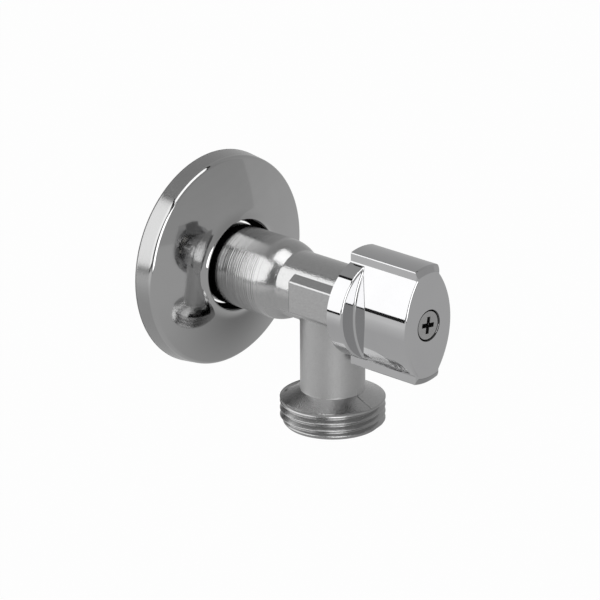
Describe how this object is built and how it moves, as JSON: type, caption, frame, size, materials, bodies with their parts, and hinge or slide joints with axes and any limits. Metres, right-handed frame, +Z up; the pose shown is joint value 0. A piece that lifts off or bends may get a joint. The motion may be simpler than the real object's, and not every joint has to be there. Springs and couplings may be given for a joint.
{
  "type": "angle valve",
  "caption": "Chrome angle valve: male wall thread with a sliding round wall plate, downward male hose thread, and a ribbed quarter-turn knob on a ceramic-disc headwork.",
  "frame": {"origin": "on the valve's axis at the wall plane, inside the inlet thread's span", "axes": "+Y into the wall along the inlet thread, knob towards -Y, +Z up, outlet pointing down along -Z"},
  "size_m": [0.0554, 0.0848, 0.0616],
  "materials": {
    "plated_body": "chrome plate over cast and turned brass",
    "plated_plate": "chrome plate over pressed sheet",
    "plated_knob": "mirror chrome plate over a metal casting",
    "plated_screw": "plated steel",
    "brass": "turned",
    "rubber": "moulded",
    "slide_plastic": "moulded",
    "spring_steel": "stamped",
    "ceramic": "lapped alumina"
  },
  "bodies": {
    "body": {"valve_body": "plated_body", "headwork_body": "brass", "headwork_seal_ring": "rubber", "slide_washer": "slide_plastic", "fixed_disc": "ceramic", "disc_seal": "rubber", "seal_support": "slide_plastic"},
    "wall_plate": {"escutcheon": "plated_plate"},
    "operator": {"knob": "plated_knob", "knob_screw": "plated_screw", "spindle": "brass", "spindle_ring_lower": "rubber", "spindle_ring_upper": "rubber", "spindle_clip": "spring_steel", "turning_disc": "ceramic"}
  },
  "joints": [
    {"name": "knob_turn", "type": "hinge", "parent": "body", "child": "operator", "pos_m": [0, -0.06, 0], "axis": [0, 1, 0], "range_deg": [0, 90]},
    {"name": "plate_slide", "type": "slide", "parent": "body", "child": "wall_plate", "axis": [0, -1, 0], "range_m": [0, 0.0105]}
  ]
}
